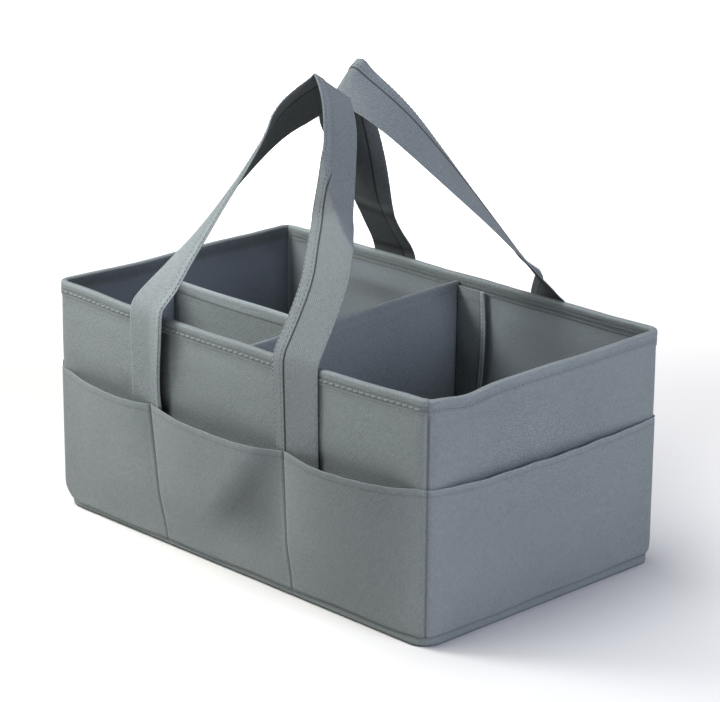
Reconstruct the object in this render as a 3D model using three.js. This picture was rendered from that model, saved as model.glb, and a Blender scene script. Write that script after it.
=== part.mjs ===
// A soft-sided diaper caddy: boarded canvas walls with sewn pockets round the outside,
// two carrying straps that lean together over the middle, and a T-shaped divider that lifts out.
// Millimetres, +Z up, +X along the length, -Y towards the front, origin on the floor at the middle.
import * as THREE from "three";

// Overall sizes, to the outer faces of the walls at the floor
const LENGTH = 386;
const WIDTH = 234;
const HEIGHT = 175;
const CORNER_RADIUS = 10;
// The rim of a wall swells outwards and dips between its corners
const LONG_BOW = 3;
const END_BOW = 1;
const LONG_SAG = 1.5;
const END_SAG = 0.5;

// Cloth and boards, and the clearance between layers that lie on each other
const CLOTH = 0.9;
const LINING = 0.7;
const WALL_BOARD = 2;
const BASE_BOARD = 3;
const GAP = 0.3;

// Base: a band of cloth round the foot of the walls, drawn in at its corners
const BAND_HEIGHT = 8;
const BASE_CORNER_RADIUS = 14;

// Rim: cloth folded over the top of each wall
const RIM_HEM = 11;

// Pockets: mouth heights at a wall's left and right corners and at the seams between bays
const POCKET_LEFT_HEIGHT = 108;
const POCKET_RIGHT_HEIGHT = 113;
const POCKET_SEAM_HEIGHT = 107.5;
const POCKET_MOUTH_SAG = 1;
const POCKET_SWELL = 10;
const END_POCKET_SWELL = 6.5;
// A bay's swell grows from foot to mouth, and is fullest past its middle or, at the ends, before it
const POCKET_GROWTH = 1.3;
const POCKET_LEAN = 1.3;
const END_POCKET_LEAN = 0.85;
// Seams of a long wall's pocket panel: distance from the wall's middle at the foot and at the mouth
const POCKET_SEAMS = [
  { foot: -69, mouth: -80 },
  { foot: 64, mouth: 61 },
];

// Carrying straps: legs down a long wall behind the pockets, and a loop above the rim
const STRAP_WIDTH = 43;
const STRAP_THICKNESS = 2;
const LEG_SPAN = 153.5;
const LEG_SHIFT = -4.75;
const LEG_FOOT = 45;
const HINGE_RISE = 1;
const HANDLE_HEIGHT = 160;
const HANDLE_PARTING = 2;
// How soon the loop's width turns square to its own run above the rim
const STRAP_SETTLE = 12;
// Loop stations: share of half the span, share of the rise, and turn of the strap in degrees.
// The skew is how far along the loop one edge turns before or after the middle, as in a slanting crease.
const FRONT_LOOP = {
  skew: -0.056,
  stations: [
    [-1, 0, 0],
    [-0.9, 0.24, 28],
    [-0.52, 0.67, 48],
    [-0.34, 0.84, 68],
    [-0.05, 1.01, 89],
    [0.11, 1.01, 104],
    [0.33, 0.9, 103],
    [0.58, 0.69, 94],
    [0.78, 0.46, 78],
    [0.97, 0.28, 1],
    [1, 0, 0],
  ],
};
const BACK_LOOP = {
  skew: -0.078,
  stations: [
    [-1, 0, 0],
    [-1, 0.07, 17],
    [-0.6, 0.42, 37],
    [-0.13, 0.75, 61],
    [0.32, 0.95, 75],
    [0.56, 0.97, 101],
    [0.79, 0.72, 62],
    [1.05, 0.34, 0],
    [1, 0, 0],
  ],
};

// Divider: a cross wall set a little askew, and a lower long wall towards the left end
const CROSS_DROP = 6;
const CROSS_FRONT_X = 11;
const CROSS_BACK_X = -4;
const LONG_DROP = 21;
const LONG_Y = -6;
const DIVIDER_BOARD = 2;
// Flaps at the divider's ends, held to the walls by hook and loop strips
const FLAP_WIDTH = 28;
const FLAP_FOOT = 14;
const FLAP_SHORT = 3;
const FLAP_ROOT = 0.4;
const LOOP_STRIP = 1.2;
const HOOK_STRIP = 1;
const STRIP_INSET = 4;

// Depths of the layers of a wall, measured inwards from its outer face
const boardDepth = CLOTH + GAP;
const liningDepth = boardDepth + WALL_BOARD + GAP;
const wallDepth = liningDepth + LINING;
const hemHalf = wallDepth / 2 + GAP;
const hemDepth = wallDepth + GAP + CLOTH;
const loopDepth = wallDepth + GAP;
const hookDepth = loopDepth + LOOP_STRIP + GAP;
const flapDepth = hookDepth + HOOK_STRIP + GAP;
const dividerEndDepth = hemDepth + 2 * GAP;
const strapDepth = -(GAP + CLOTH + GAP);

// Heights of the layers of the base
const baseBoardFoot = CLOTH + GAP;
const baseLiningFoot = baseBoardFoot + BASE_BOARD + GAP;
const innerFoot = baseLiningFoot + LINING + GAP;
const outerFoot = BAND_HEIGHT + GAP;
const crossTop = HEIGHT - CROSS_DROP;
const longTop = HEIGHT - LONG_DROP;

// Facets up a wall and up a pocket panel, and across a strap's loop
const WALL_ROWS = 3;
const POCKET_ROWS = 6;
const LOOP_STEPS = 60;

// Each wall is modelled facing the front and turned to its side of the box; steps are its facets along
const LONG_WALL = {
  half: LENGTH / 2,
  reach: WIDTH / 2,
  bow: LONG_BOW,
  sag: LONG_SAG,
  seams: POCKET_SEAMS,
  pocketSwell: POCKET_SWELL,
  pocketLean: POCKET_LEAN,
  steps: 16,
  pocketSteps: 42,
};
const END_WALL = {
  half: WIDTH / 2,
  reach: LENGTH / 2,
  bow: END_BOW,
  sag: END_SAG,
  seams: [],
  pocketSwell: END_POCKET_SWELL,
  pocketLean: END_POCKET_LEAN,
  steps: 8,
  pocketSteps: 16,
};
const WALLS = {
  front: { ...LONG_WALL, turn: 0 },
  right: { ...END_WALL, turn: Math.PI / 2 },
  back: { ...LONG_WALL, turn: Math.PI },
  left: { ...END_WALL, turn: -Math.PI / 2 },
};
const UP = new THREE.Vector3(0, 0, 1);
const ALONG = new THREE.Vector3(1, 0, 0);
const OUT = new THREE.Vector3(0, -1, 0);

const canvas = new THREE.MeshStandardMaterial({ color: 0x7d878a, roughness: 0.9, metalness: 0 });
const strapCloth = new THREE.MeshStandardMaterial({ color: 0x858e91, roughness: 0.88, metalness: 0 });
const liningCloth = new THREE.MeshStandardMaterial({ color: 0x6c767c, roughness: 0.92, metalness: 0 });
const greyBoard = new THREE.MeshStandardMaterial({ color: 0xa89f8f, roughness: 0.85, metalness: 0 });
const hookTape = new THREE.MeshStandardMaterial({ color: 0x4e565b, roughness: 0.95, metalness: 0 });

const smooth = (from, to, value) => THREE.MathUtils.smoothstep(value, from, to);
const straightHalf = (wall) => wall.half - CORNER_RADIUS;

// 1 along the middle of a wall, falling to 0 where its corners begin to turn
const middleShare = (wall, s) => (1 - Math.min(1, Math.abs(s) / straightHalf(wall)) ** 4) ** 2;

const rimTop = (wall, s) => HEIGHT - wall.sag * middleShare(wall, s);
const wallTop = (wall, s) => rimTop(wall, s) - CLOTH - hemHalf / 2;
const wallLean = (wall) => Math.atan(wall.bow / HEIGHT);

// A point of a wall: s runs along its outer face from the middle and round half of each corner
function wallPoint(wall, s, depth, z) {
  const straight = straightHalf(wall);
  const angle = Math.max(0, Math.abs(s) - straight) / CORNER_RADIUS;
  const radius = CORNER_RADIUS - depth;
  const along = Math.sign(s) * (Math.min(Math.abs(s), straight) + radius * Math.sin(angle));
  const swell = (wall.bow * middleShare(wall, s) * z) / HEIGHT;
  const out = wall.reach - CORNER_RADIUS + radius * Math.cos(angle) + swell;
  return new THREE.Vector3(along, -out, z);
}

const evenly = (from, to, steps) =>
  Array.from({ length: steps + 1 }, (_, i) => from + ((to - from) * i) / steps);

// Stations along the straight part of a wall, the same for every layer so that their facets lie parallel
const straightStations = (wall, steps) => evenly(-straightHalf(wall), straightHalf(wall), steps);

// Stations from corner seam to corner seam, for layers no deeper than the given depth
function cornerToCorner(wall, depth, steps) {
  const seam = GAP / 2 / (CORNER_RADIUS - depth);
  const arc = CORNER_RADIUS * (Math.PI / 4 - seam);
  const corner = [0.25, 0.5, 0.75, 1].map((share) => straightHalf(wall) + share * arc);
  return [...corner.map((s) => -s).reverse(), ...straightStations(wall, steps), ...corner];
}

// Stations between two places short of the corners
function shortOfCorners(wall, end, steps) {
  return [-end, ...straightStations(wall, steps).filter((s) => Math.abs(s) < end), end];
}

// A closed solid through ribbon-shaped sections, each one path out and another path back
function loft(sections) {
  const count = sections[0].length;
  const index = [];
  const quad = (a, b, c, d) => index.push(a, b, c, a, c, d);
  for (let i = 0; i + 1 < sections.length; i += 1) {
    for (let j = 0; j < count; j += 1) {
      const next = (j + 1) % count;
      const corners = [i * count + j, i * count + next, (i + 1) * count + next, (i + 1) * count + j];
      // Both faces of the ribbon split along the same diagonal, so layers that follow each other stay clear
      if (j >= count / 2) corners.push(corners.shift());
      quad(...corners);
    }
  }
  const last = (sections.length - 1) * count;
  for (let j = 0; j + 1 < count / 2; j += 1) {
    const back = count - 1 - j;
    quad(j, back, back - 1, j + 1);
    quad(last + j, last + j + 1, last + back - 1, last + back);
  }
  const points = sections.flat();
  if (signedVolume(points, index) < 0) index.reverse();
  const geometry = new THREE.BufferGeometry().setFromPoints(points);
  geometry.setIndex(index);
  geometry.computeVertexNormals();
  return geometry;
}

function signedVolume(points, index) {
  let sum = 0;
  for (let i = 0; i < index.length; i += 3) {
    const [a, b, c] = [points[index[i]], points[index[i + 1]], points[index[i + 2]]];
    sum += a.dot(new THREE.Vector3().crossVectors(b, c));
  }
  return sum / 6;
}

// A layer of a wall between two depths, over the given stations and heights
function layer(wall, stations, depth, thickness, foot, top, standOff = () => 0) {
  return loft(
    stations.map((s) => {
      const path = evenly(foot, top(s), standOff.length ? POCKET_ROWS : WALL_ROWS);
      const face = (inset) => path.map((z) => wallPoint(wall, s, inset - standOff(s, z), z));
      return [...face(depth), ...face(depth + thickness).reverse()];
    }),
  );
}

// Cloth folded over an edge: offsets across the edge and heights, outside and then inside
function foldedCloth(halfInside, cloth, foot, top) {
  const fold = (half, crown) => [
    [-half, foot],
    [-half, crown - half / 2],
    [-half / 2, crown],
    [half / 2, crown],
    [half, crown - half / 2],
    [half, foot],
  ];
  return [...fold(halfInside + cloth, top), ...fold(halfInside, top - cloth).reverse()];
}

function rimHem(wall) {
  return loft(
    cornerToCorner(wall, hemDepth, wall.steps).map((s) => {
      const top = rimTop(wall, s);
      const section = foldedCloth(hemHalf, CLOTH, top - RIM_HEM, top);
      return section.map(([across, z]) => wallPoint(wall, s, wallDepth / 2 + across, z));
    }),
  );
}

// Where the straps' legs stand along a long wall
const legPlaces = [LEG_SHIFT - LEG_SPAN / 2, LEG_SHIFT + LEG_SPAN / 2];
const strapReach = Math.max(...legPlaces.map(Math.abs)) + STRAP_WIDTH / 2;

// Seams that bound the bays of a pocket panel at a height, corner seams included
function pocketBays(wall, z) {
  const share = (z - outerFoot) / (POCKET_SEAM_HEIGHT - outerFoot);
  const inner = wall.seams.map((seam) => THREE.MathUtils.lerp(seam.foot, seam.mouth, share));
  return [-straightHalf(wall), ...inner, straightHalf(wall)];
}

// The bay that a station lies in, and how far across it the station is
function inBay(bays, s) {
  const i = Math.max(0, bays.findIndex((edge, k) => k + 1 < bays.length && s <= bays[k + 1]));
  const share = THREE.MathUtils.clamp((s - bays[i]) / (bays[i + 1] - bays[i]), 0, 1);
  return { i, share: Math.abs(s) > bays.at(-1) ? 0 : share };
}

// Steep beside the seams, full between them
const baySwell = (wall, share) => 1 - Math.abs(2 * share ** wall.pocketLean - 1) ** 3;

function pocketMouth(wall, s) {
  const { i, share } = inBay(pocketBays(wall, POCKET_SEAM_HEIGHT), s);
  const levels = [POCKET_LEFT_HEIGHT, ...wall.seams.map(() => POCKET_SEAM_HEIGHT), POCKET_RIGHT_HEIGHT];
  const cornerLevel = s < 0 ? POCKET_LEFT_HEIGHT : POCKET_RIGHT_HEIGHT;
  const line = THREE.MathUtils.lerp(levels[i], levels[i + 1], share);
  return Math.abs(s) > straightHalf(wall) ? cornerLevel : line - POCKET_MOUTH_SAG * baySwell(wall, share);
}

// How far the pocket panel stands off the wall: over the strap's legs, and where a bay swells
function pocketStandOff(wall, s, z) {
  const { share } = inBay(pocketBays(wall, z), s);
  const rise = Math.max(0, z - outerFoot) / (POCKET_SEAM_HEIGHT - outerFoot);
  const nearStraps = 1 - smooth(strapReach, straightHalf(wall), Math.abs(s));
  const overStrap = wall.seams.length ? nearStraps * smooth(outerFoot, LEG_FOOT, z) : 0;
  const swell = wall.pocketSwell * baySwell(wall, share) * rise ** POCKET_GROWTH;
  return (STRAP_THICKNESS - strapDepth) * overStrap + swell;
}

function pocketPanel(wall) {
  const stations = cornerToCorner(wall, 0, wall.pocketSteps);
  const mouth = (s) => pocketMouth(wall, s);
  const standOff = (s, z) => pocketStandOff(wall, s, z);
  return layer(wall, stations, -GAP - CLOTH, CLOTH, outerFoot, mouth, standOff);
}

const hingeHeight = HEIGHT + HINGE_RISE;

// How far out the furthest edge of the straps' legs, and so the fold at the rim, lies from the box's middle
function hingeOut(wall) {
  const edges = legPlaces.flatMap((place) => [place - STRAP_WIDTH / 2, place + STRAP_WIDTH / 2]);
  return Math.max(...edges.map((s) => -wallPoint(wall, s, strapDepth - STRAP_THICKNESS, hingeHeight).y));
}

function loopFrame(wall) {
  const inwards = hingeOut(wall) - STRAP_WIDTH / 2 - HANDLE_PARTING;
  const lean = Math.atan2(inwards, HANDLE_HEIGHT);
  const rise = Math.hypot(inwards, HANDLE_HEIGHT);
  const climb = UP.clone().multiplyScalar(Math.cos(lean)).addScaledVector(OUT, -Math.sin(lean));
  const face = OUT.clone().multiplyScalar(Math.cos(lean)).addScaledVector(UP, Math.sin(lean));
  const mitre = Math.tan((lean + wallLean(wall)) / 2);
  return { rise, climb, face, mitre };
}

function strapLeg(wall, place) {
  const { mitre } = loopFrame(wall);
  const across = evenly(place - STRAP_WIDTH / 2, place + STRAP_WIDTH / 2, 2);
  const heights = evenly(LEG_FOOT, hingeHeight - GAP / 2, 4);
  const sections = heights.map((z) => {
    const outer = across.map((s) => wallPoint(wall, s, strapDepth - STRAP_THICKNESS, z));
    const inner = across.map((s) => wallPoint(wall, s, strapDepth, z));
    return [...outer, ...inner.reverse()];
  });
  // The top is cut to the mitre that it shares with the loop
  for (const point of sections.at(-1)) point.z -= (hingeOut(wall) + point.y) * mitre;
  return loft(sections);
}

function strapLoop(wall, { stations, skew }) {
  const { rise, climb, face, mitre } = loopFrame(wall);
  const place = new THREE.SplineCurve(
    stations.map(([along, up]) => new THREE.Vector2(LEG_SHIFT + (along * LEG_SPAN) / 2, up * rise)),
  );
  const turns = new THREE.SplineCurve(stations.map(([, , turn], i) => new THREE.Vector2(i, turn)));
  const turnAt = (t) => THREE.MathUtils.degToRad(turns.getPoint(THREE.MathUtils.clamp(t, 0, 1)).y);
  const hinge = OUT.clone().multiplyScalar(hingeOut(wall)).addScaledVector(UP, hingeHeight);
  const cut = STRAP_THICKNESS * mitre;
  return loft(
    evenly(0, 1, LOOP_STEPS).map((t, i) => {
      const { x: along, y: up } = place.getPoint(t);
      const settled = smooth(0, STRAP_SETTLE, up);
      const upright = new THREE.Vector2(0, t < 0.5 ? 1 : -1);
      const run = upright.lerp(place.getTangent(t), settled).normalize();
      const edge = ALONG.clone().multiplyScalar(-run.y).addScaledVector(climb, run.x);
      const middle = hinge.clone().addScaledVector(ALONG, along).addScaledVector(climb, up);
      middle.addScaledVector(face, -STRAP_THICKNESS / 2);
      const atRim = i === 0 || i === LOOP_STEPS;
      const side = (sign) =>
        [-1, 0, 1].map((share) => {
          const turn = turnAt(t + skew * share * settled);
          const normal = face.clone().multiplyScalar(Math.cos(turn)).addScaledVector(edge, Math.sin(turn));
          const width = face.clone().multiplyScalar(Math.sin(turn)).addScaledVector(edge, -Math.cos(turn));
          const point = middle.clone().addScaledVector(width, (share * STRAP_WIDTH) / 2);
          point.addScaledVector(normal, (sign * STRAP_THICKNESS) / 2);
          return point.addScaledVector(climb, atRim ? GAP / 2 + (sign < 0 ? cut : 0) : 0);
        });
      return [...side(1), ...side(-1).reverse()];
    }),
  );
}

// A rectangle with rounded corners, inset from the outer faces of the walls
function floorShape(inset) {
  const x = LENGTH / 2 - inset;
  const y = WIDTH / 2 - inset;
  const r = BASE_CORNER_RADIUS - inset;
  const shape = new THREE.Shape();
  shape.absarc(x - r, y - r, r, 0, Math.PI / 2);
  shape.absarc(-x + r, y - r, r, Math.PI / 2, Math.PI);
  shape.absarc(-x + r, -y + r, r, Math.PI, 1.5 * Math.PI);
  shape.absarc(x - r, -y + r, r, 1.5 * Math.PI, 2 * Math.PI);
  return shape;
}

function slab(shape, foot, depth) {
  const geometry = new THREE.ExtrudeGeometry(shape, { depth, bevelEnabled: false, curveSegments: 5 });
  return geometry.translate(0, 0, foot);
}

function baseBand() {
  const ring = floorShape(0);
  ring.holes.push(floorShape(CLOTH));
  return slab(ring, baseBoardFoot, BAND_HEIGHT - baseBoardFoot);
}

// Upright end lines of the divider's walls: places on the floor plan that follow the walls' lean
function frontEnd(z) {
  const { y } = wallPoint(WALLS.front, CROSS_FRONT_X, dividerEndDepth, z);
  return new THREE.Vector3(CROSS_FRONT_X, y, z);
}

function backEnd(z) {
  const { y } = wallPoint(WALLS.back, CROSS_BACK_X, dividerEndDepth, z);
  return new THREE.Vector3(CROSS_BACK_X, -y, z);
}

function leftEnd(z) {
  const { y } = wallPoint(WALLS.left, -LONG_Y, dividerEndDepth, z);
  return new THREE.Vector3(y, LONG_Y, z);
}

const dividerHalf = DIVIDER_BOARD / 2 + GAP + CLOTH;

// Where the middle plane of the cross wall lies at a place across the box
function crossMiddle(y) {
  const [near, far] = [frontEnd(0), backEnd(0)];
  return THREE.MathUtils.mapLinear(y, near.y, far.y, near.x, far.x);
}

function seamEnd(z) {
  const clear = dividerHalf * Math.tan(Math.abs(CROSS_FRONT_X - CROSS_BACK_X) / WIDTH);
  return new THREE.Vector3(crossMiddle(LONG_Y) - dividerHalf - clear - GAP, LONG_Y, z);
}

// A divider wall between two upright end lines, from a section across its thickness
function dividerWall(start, end, section) {
  const run = end(0).sub(start(0)).normalize();
  const across = new THREE.Vector3(-run.y, run.x, 0);
  return loft(
    [start, end].map((line) => section.map(([offset, z]) => line(z).addScaledVector(across, offset))),
  );
}

function dividerCover(start, end, top) {
  return dividerWall(start, end, foldedCloth(DIVIDER_BOARD / 2 + GAP, CLOTH, innerFoot, top));
}

// The board stops short of its cover's ends and foot
function dividerBoard(start, end, top) {
  const run = end(0).sub(start(0)).normalize();
  const inset = (line, sign) => (z) => line(z).addScaledVector(run, sign * CLOTH);
  const half = DIVIDER_BOARD / 2;
  const foot = innerFoot + CLOTH;
  const crown = top - 2 * CLOTH - GAP;
  const section = [[-half, foot], [-half, crown], [half, crown], [half, foot]];
  return dividerWall(inset(start, 1), inset(end, -1), section);
}

// Flap at a divider's end and the two strips that hold it, from its root towards +s or -s
function flapPieces(wall, name, root, sign, top) {
  const from = root + sign * (dividerHalf + FLAP_ROOT);
  const to = from + sign * FLAP_WIDTH;
  const strip = [from + sign * STRIP_INSET, to - sign * STRIP_INSET];
  const edge = top - FLAP_SHORT;
  const sheet = (ends, depth, thickness, foot, head) =>
    layer(wall, ends, depth, thickness, foot, () => head);
  const stripFoot = FLAP_FOOT + STRIP_INSET;
  const stripHead = Math.min(edge, HEIGHT - wall.sag - RIM_HEM) - STRIP_INSET;
  return [
    [`${name}_flap`, sheet([from, to], flapDepth, CLOTH, FLAP_FOOT, edge), canvas],
    [`${name}_hook_strip`, sheet(strip, hookDepth, HOOK_STRIP, stripFoot, stripHead), hookTape],
    [`${name}_loop_strip`, sheet(strip, loopDepth, LOOP_STRIP, stripFoot, stripHead), hookTape],
  ];
}

function addPieces(group, pieces) {
  for (const [name, geometry, material] of pieces) {
    const mesh = new THREE.Mesh(geometry, material);
    mesh.name = name;
    group.add(mesh);
  }
}

function wallPieces(name) {
  const wall = WALLS[name];
  const boardEnd = wall.half - Math.max(CORNER_RADIUS, BASE_CORNER_RADIUS) - GAP;
  const top = (s) => wallTop(wall, s);
  const outside = cornerToCorner(wall, CLOTH, wall.steps);
  const boards = shortOfCorners(wall, boardEnd, wall.steps);
  const inside = cornerToCorner(wall, wallDepth, wall.steps);
  return [
    [`${name}_outer_panel`, layer(wall, outside, 0, CLOTH, outerFoot, top), canvas],
    [`${name}_board`, layer(wall, boards, boardDepth, WALL_BOARD, innerFoot, top), greyBoard],
    [`${name}_lining`, layer(wall, inside, liningDepth, LINING, innerFoot, top), liningCloth],
    [`${name}_rim_hem`, rimHem(wall), canvas],
    [`${name}_pocket`, pocketPanel(wall), canvas],
  ];
}

// The first leg of each pair is the one nearer that wall's own left end
function strapPieces(name, loop, legSides) {
  const wall = WALLS[name];
  const legs = legPlaces.map((place, i) => [
    `${name}_${legSides[i]}_strap_leg`,
    strapLeg(wall, place),
    strapCloth,
  ]);
  return [...legs, [`${name}_handle_strap`, strapLoop(wall, loop), strapCloth]];
}

const caddy = new THREE.Group();

const base = new THREE.Group();
addPieces(base, [
  ["base_panel", slab(floorShape(0), 0, CLOTH), canvas],
  ["base_band", baseBand(), canvas],
  ["base_board", slab(floorShape(boardDepth), baseBoardFoot, BASE_BOARD), greyBoard],
  ["base_lining", slab(floorShape(boardDepth), baseLiningFoot, LINING), liningCloth],
]);
caddy.add(base);

const sides = {};
for (const name of Object.keys(WALLS)) {
  sides[name] = new THREE.Group();
  sides[name].rotation.z = WALLS[name].turn;
  addPieces(sides[name], wallPieces(name));
  caddy.add(sides[name]);
}
addPieces(sides.front, strapPieces("front", FRONT_LOOP, ["left", "right"]));
addPieces(sides.back, strapPieces("back", BACK_LOOP, ["right", "left"]));

const divider = new THREE.Group();
addPieces(divider, [
  ["cross_divider_cover", dividerCover(frontEnd, backEnd, crossTop), canvas],
  ["cross_divider_board", dividerBoard(frontEnd, backEnd, crossTop), greyBoard],
  ["long_divider_cover", dividerCover(leftEnd, seamEnd, longTop), canvas],
  ["long_divider_board", dividerBoard(leftEnd, seamEnd, longTop), greyBoard],
]);
caddy.add(divider);
addPieces(sides.front, flapPieces(WALLS.front, "front", CROSS_FRONT_X, 1, crossTop));
addPieces(sides.back, flapPieces(WALLS.back, "back", -CROSS_BACK_X, -1, crossTop));
addPieces(sides.left, flapPieces(WALLS.left, "end", -LONG_Y, 1, longTop));

export default caddy;
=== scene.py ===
"""Looks of a soft-sided diaper caddy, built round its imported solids. Lengths in millimetres until MM."""

import math

import bpy
import numpy as np
from mathutils import Matrix, Vector


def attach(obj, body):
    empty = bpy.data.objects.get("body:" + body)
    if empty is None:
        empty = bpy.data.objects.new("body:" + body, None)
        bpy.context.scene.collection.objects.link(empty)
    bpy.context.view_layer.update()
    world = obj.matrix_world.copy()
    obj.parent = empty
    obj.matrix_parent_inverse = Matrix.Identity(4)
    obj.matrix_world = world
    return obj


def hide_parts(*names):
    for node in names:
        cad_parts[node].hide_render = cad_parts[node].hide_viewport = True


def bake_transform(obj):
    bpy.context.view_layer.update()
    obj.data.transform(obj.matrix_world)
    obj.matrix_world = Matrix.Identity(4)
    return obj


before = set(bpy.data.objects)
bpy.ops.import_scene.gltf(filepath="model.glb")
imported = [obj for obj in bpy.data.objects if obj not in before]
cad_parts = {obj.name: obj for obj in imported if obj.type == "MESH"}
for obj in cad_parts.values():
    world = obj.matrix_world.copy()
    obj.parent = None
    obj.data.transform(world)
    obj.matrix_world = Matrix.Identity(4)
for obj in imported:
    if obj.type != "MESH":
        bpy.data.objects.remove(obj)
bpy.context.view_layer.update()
MM = 0.001

# Sizes that the solids have
LENGTH = 386.0
WIDTH = 234.0
HEIGHT = 175.0
CORNER_RADIUS = 10.0
LONG_BOW = 3.0
END_BOW = 1.0
LONG_SAG = 1.5
END_SAG = 0.5
CLOTH = 0.9
GAP = 0.3
BAND_HEIGHT = 8.0
WALL_DEPTH = 4.2
LINING_DEPTH = 3.5
BOARD_DEPTH = 1.2
WALL_BOARD = 2.0
BOARD_SHORT = 4.3
BOARD_DROP = 3.0
INNER_FOOT = 5.5
OUTER_FOOT = BAND_HEIGHT + GAP
BASE_LINING_FOOT = 4.5
BASE_LINING_TOP = 5.2
POCKET_SEAM_HEIGHT = 107.5
STRAP_WIDTH = 43.0
STRAP_THICKNESS = 2.0
STRAP_DEPTH = -1.5
LEG_PLACES = {"front": (-80.0, 72.0), "back": (-76.0, 78.0)}
LEG_FOOT = 45.0
LEG_SPAN = 153.5
LEG_SHIFT = -4.75
HINGE_HEIGHT = 176.0
HINGE_OUT = 123.48
HANDLE_HEIGHT = 160.0
HANDLE_PARTING = 2.0
STRAP_SETTLE = 12.0
CROSS_TOP = 169.0
CROSS_FRONT_X = 11.0
CROSS_BACK_X = -4.0
LONG_TOP = 154.0
LONG_Y = -6.0
DIVIDER_HALF = 2.2
DIVIDER_END_DEPTH = 6.0
FLAP_WIDTH = 28.0
FLAP_FOOT = 14.0
FLAP_ROOT = 0.8
FLAP_SHORT = 3.0
FLAP_DEPTH = 7.3
HOOK_DEPTH = 6.0
LOOP_DEPTH = 4.5
STRIP_INSET = 4.0
STRIP_HEAD = 158.0

# Loop stations: share of half the span, share of the rise, and turn of the strap in degrees.
# The skew is how far along the loop one edge turns before or after the middle.
FRONT_LOOP = (
    (-1, 0, 0),
    (-0.86, 0.24, 26),
    (-0.47, 0.72, 52),
    (-0.27, 0.88, 77),
    (0.04, 0.995, 89),
    (0.12, 1.0, 92),
    (0.355, 0.89, 95),
    (0.605, 0.69, 98),
    (0.825, 0.46, 92),
    (0.97, 0.28, 80),
    (1, 0, 0),
)
FRONT_SKEW = -0.056
BACK_LOOP = (
    (-0.94, 0, 0),
    (-0.95, 0.06, 22),
    (-0.6, 0.42, 37),
    (-0.13, 0.75, 61),
    (0.32, 0.935, 75),
    (0.56, 0.955, 101),
    (0.79, 0.72, 62),
    (1.06, 0.34, 0),
    (1.08, 0, 0),
)
BACK_SKEW = -0.078

# At the foot of the corners, back right, back left, front left and front right: the rounding, how far
# the cloth is drawn in, up to what height, and from how far before the corner
FOOT_RADII = (11.7, 15.8, 20.3, 15.8)
FOOT_DRAWS = (2.0, 4.0, 6.2, 4.0)
FOOT_TAPER = 22.0
FOOT_REACH = 16.0
# Height of a pocket panel's foot at the middle of each wall, and its rise to the right
CLOTH_FOOT = {"front": (5.2, 1.6), "right": (7.4, 0.4), "back": (7.1, -0.3), "left": (5.2, -1.6)}
# Half length of a wall, its distance from the middle of the box, and the bow and sag of its rim
WALL_KINDS = {
    "long": (LENGTH / 2, WIDTH / 2, LONG_BOW, LONG_SAG),
    "end": (WIDTH / 2, LENGTH / 2, END_BOW, END_SAG),
}
# Where an end's soft rim dips: depth, place and reach
RIM_DIPS = {"right": (3.6, -80.0, 20.0), "left": (1.5, 40.0, 30.0)}
# Where each wall's waves start
SEEDS = {"front": 0.3, "right": 1.7, "back": 3.1, "left": 4.6}


def smooth(low, high, value):
    """A soft step from 0 at low to 1 at high; low may be the greater."""
    t = np.clip((np.asarray(value, float) - low) / (high - low), 0, 1)
    return t * t * (3 - 2 * t)


def between(value, start, risen, falling, end):
    """0 up to the start, 1 from risen to falling, and 0 again from the end."""
    return smooth(start, risen, value) * (1 - smooth(falling, end, value))


def bump(value, middle, reach):
    """1 in the middle, fading to both sides."""
    return np.exp(-(((np.asarray(value, float) - middle) / reach) ** 2))


def ripple(s, z, seed):
    """Slow uneven swelling of a cloth face, from 0 to 1."""
    a = np.sin(s / 31 + 2.1 * seed + 0.6 * np.sin(z / 23 + seed))
    b = np.sin(z / 27 - s / 55 + 3.7 * seed)
    c = np.sin(s / 14 + z / 19 + 5.3 * seed)
    return 0.5 + (a + 0.8 * b + 0.4 * c) / 4.4


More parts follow.
